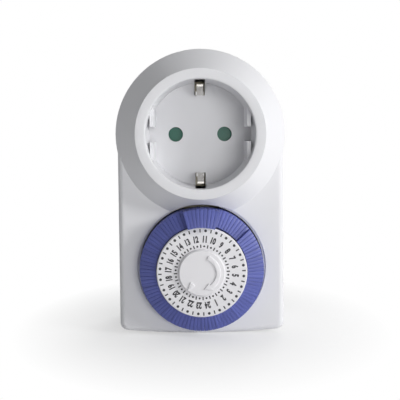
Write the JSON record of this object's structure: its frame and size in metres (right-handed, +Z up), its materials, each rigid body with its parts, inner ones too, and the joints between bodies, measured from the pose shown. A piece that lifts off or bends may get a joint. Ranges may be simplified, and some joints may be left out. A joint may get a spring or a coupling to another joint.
{
  "type": "plug-in timer switch",
  "caption": "Plug-in mechanical day timer: earthed plug at the back, socket well above, turning dial ringed with sliding tappets below.",
  "frame": {"origin": "middle of the plug's end face, between its two pins", "axes": "+Z up, +Y into the wall along the pins, -Y out of the front"},
  "size_m": [0.0634, 0.079, 0.1072],
  "materials": {
    "white_plastic": "satin",
    "white_print": "matte",
    "blue_plastic": "satin",
    "black_plastic": "matte",
    "green_plastic": "matte",
    "ivory_plastic": "matte",
    "brass": "satin",
    "nickel": "satin",
    "steel": "satin",
    "silver": "satin"
  },
  "bodies": {
    "housing": {"front_cover": "white_plastic", "rear_cover": "white_plastic", "socket_insert": "white_plastic", "centre_disc": "white_print", "movement_plate": "ivory_plastic", "contact_block": "ivory_plastic", "dial_washer": "steel", "motor": "steel", "socket_contact_live": "brass", "socket_contact_neutral": "brass", "plug_pin_live": "nickel", "plug_pin_neutral": "nickel", "neutral_bar": "brass", "live_inlet_bar": "brass", "live_outlet_bar": "brass", "fixed_contact": "silver", "socket_earth_clip": "nickel", "plug_earth_clip": "nickel", "earth_rivet": "brass", "housing_screws": "steel", "motor_screws": "steel", "block_screws": "steel", "contact_spring": "steel", "shutter_spring": "steel"},
    "dial": {"dial_carrier": "black_plastic", "dial_gear": "black_plastic", "number_disc": "white_print"},
    "idler": {"idler_gear": "ivory_plastic"},
    "motor_output": {"motor_pinion": "brass"},
    "raised": {"tappets_raised": "blue_plastic"},
    "level": {"tappets_level": "blue_plastic"},
    "pushed": {"tappets_pushed": "blue_plastic"},
    "shutter": {"shutter_slider": "green_plastic"},
    "follower": {"cam_follower": "ivory_plastic"},
    "switch_arm": {"contact_arm": "brass", "moving_contact": "silver"}
  },
  "joints": [
    {"name": "dial_turn", "type": "hinge", "parent": "housing", "child": "dial", "pos_m": [0, -0.045, -0.0498], "axis": [0, -1, 0], "continuous": true},
    {"name": "idler_turn", "type": "hinge", "parent": "housing", "child": "idler", "pos_m": [0.01009, -0.033, -0.03484], "axis": [0, -1, 0], "continuous": true},
    {"name": "motor_turn", "type": "hinge", "parent": "housing", "child": "motor_output", "pos_m": [0.01399, -0.031, -0.04937], "axis": [0, -1, 0], "continuous": true},
    {"name": "raised_tappets_slide", "type": "slide", "parent": "dial", "child": "raised", "axis": [0, -1, 0], "range_m": [-0.0068, 0]},
    {"name": "level_tappets_slide", "type": "slide", "parent": "dial", "child": "level", "axis": [0, -1, 0], "range_m": [-0.0018, 0.005]},
    {"name": "pushed_tappets_slide", "type": "slide", "parent": "dial", "child": "pushed", "axis": [0, -1, 0], "range_m": [0, 0.0068]},
    {"name": "shutter_slide", "type": "slide", "parent": "housing", "child": "shutter", "axis": [1, 0, 0], "range_m": [0, 0.0064], "stiffness_N_per_m": 150, "springref_m": -0.004},
    {"name": "follower_slide", "type": "slide", "parent": "housing", "child": "follower", "axis": [0, -1, 0], "range_m": [0, 0.0018]},
    {"name": "contact_arm_hinge", "type": "hinge", "parent": "housing", "child": "switch_arm", "pos_m": [-0.019, -0.026, -0.0682], "axis": [1, 0, 0], "range_deg": [0, 5.6]}
  ],
  "couplings": [
    {"joint": "idler_turn", "follows": "dial_turn", "ratio": -5},
    {"joint": "motor_turn", "follows": "dial_turn", "ratio": 20},
    {"joint": "contact_arm_hinge", "follows": "follower_slide", "rad_per_m": 53.476}
  ]
}
